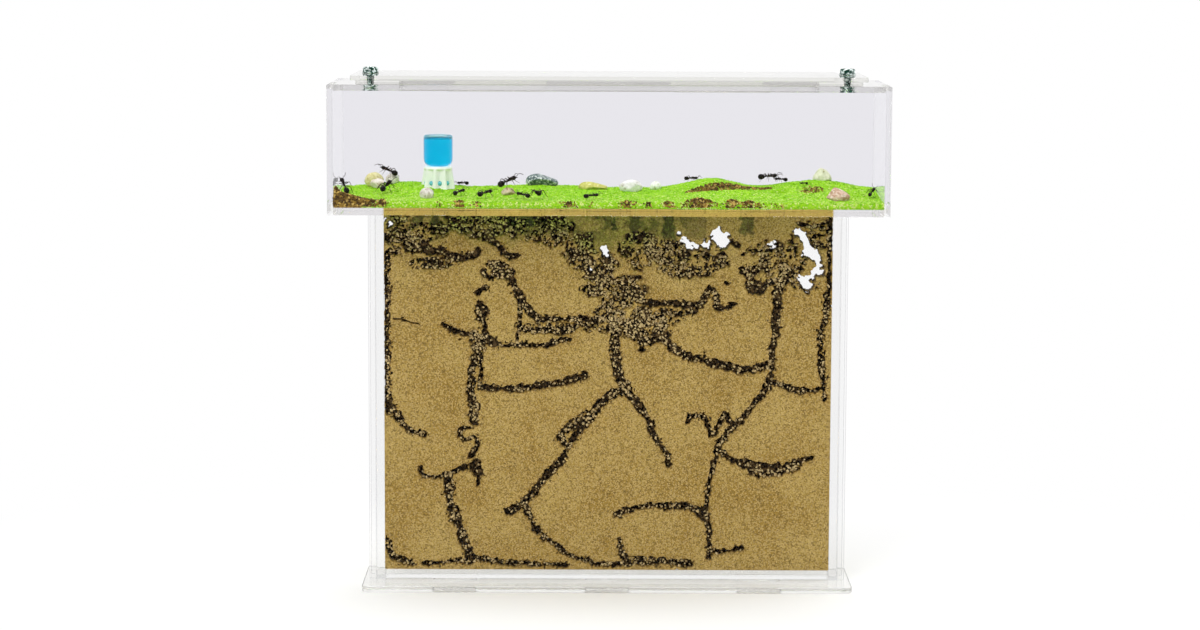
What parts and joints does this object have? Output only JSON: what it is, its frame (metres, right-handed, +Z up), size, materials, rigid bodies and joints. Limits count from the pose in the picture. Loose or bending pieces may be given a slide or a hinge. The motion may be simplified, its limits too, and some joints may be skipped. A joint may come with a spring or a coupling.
{
  "type": "ant habitat",
  "caption": "Clear acrylic ant habitat: a foraging box with green sand and a swivelling lid on a thin upright nest panel of carved ochre sand, on a flat base plate.",
  "frame": {"origin": "middle of the base plate's underside, on the surface that the habitat stands on", "axes": "+Z up, X along the habitat's width with +X at the right seen from the front, -Y towards the front"},
  "size_m": [0.23, 0.06, 0.2175],
  "materials": {
    "clear_acrylic": "polished",
    "bright_steel": "bright zinc",
    "nest_sand": "packed fine sand",
    "green_sand": "loose coloured sand",
    "brown_soil": "crumbly soil",
    "feeder_white": "moulded",
    "vial_clear": "clear moulded",
    "blue_liquid": "clear liquid",
    "ant_black": "shiny shell",
    "pebble_yellow": "smooth stone",
    "pebble_rose_white": "smooth stone",
    "pebble_white": "smooth stone",
    "pebble_by_feeder": "smooth stone",
    "pebble_beige": "smooth stone",
    "pebble_dark_flat": "smooth stone",
    "pebble_olive": "smooth stone",
    "pebble_round_white": "smooth stone",
    "pebble_small_pale": "smooth stone",
    "pebble_pale_green": "smooth stone",
    "pebble_pink_brown": "smooth stone"
  },
  "bodies": {
    "habitat": {"base_plate": "clear_acrylic", "nest_front_plate": "clear_acrylic", "nest_back_plate": "clear_acrylic", "nest_left_spacer": "clear_acrylic", "nest_right_spacer": "clear_acrylic", "nest_bottom_spacer": "clear_acrylic", "arena_floor": "clear_acrylic", "arena_front_wall": "clear_acrylic", "arena_back_wall": "clear_acrylic", "arena_left_wall": "clear_acrylic", "arena_right_wall": "clear_acrylic", "arena_top_plate": "clear_acrylic", "lid_seat_frame": "clear_acrylic", "pivot_bolt": "bright_steel", "pivot_nut": "bright_steel", "latch_bolt": "bright_steel", "latch_nut": "bright_steel", "nest_sand": "nest_sand", "arena_sand": "green_sand", "pebble_yellow": "pebble_yellow", "pebble_rose_white": "pebble_rose_white", "pebble_white": "pebble_white", "pebble_by_feeder": "pebble_by_feeder", "pebble_beige": "pebble_beige", "pebble_dark_flat": "pebble_dark_flat", "pebble_olive": "pebble_olive", "pebble_round_white": "pebble_round_white", "pebble_small_pale": "pebble_small_pale", "pebble_pale_green": "pebble_pale_green", "pebble_pink_brown": "pebble_pink_brown", "spoil_heap_left": "brown_soil", "spoil_heap_centre": "brown_soil", "spoil_heap_right": "brown_soil", "feeder_stand": "feeder_white"},
    "lid": {"arena_lid": "clear_acrylic"},
    "vial": {"feeder_vial": "vial_clear", "feeder_liquid": "blue_liquid"}
  },
  "joints": [
    {"name": "lid_swivel", "type": "hinge", "parent": "habitat", "child": "lid", "pos_m": [-0.09905, 0, 0.21395], "axis": [0, 0, 1], "range_deg": [-100, 0]},
    {"name": "vial_lift", "type": "slide", "parent": "habitat", "child": "vial", "axis": [0, 0, 1], "range_m": [0, 0.022]}
  ]
}
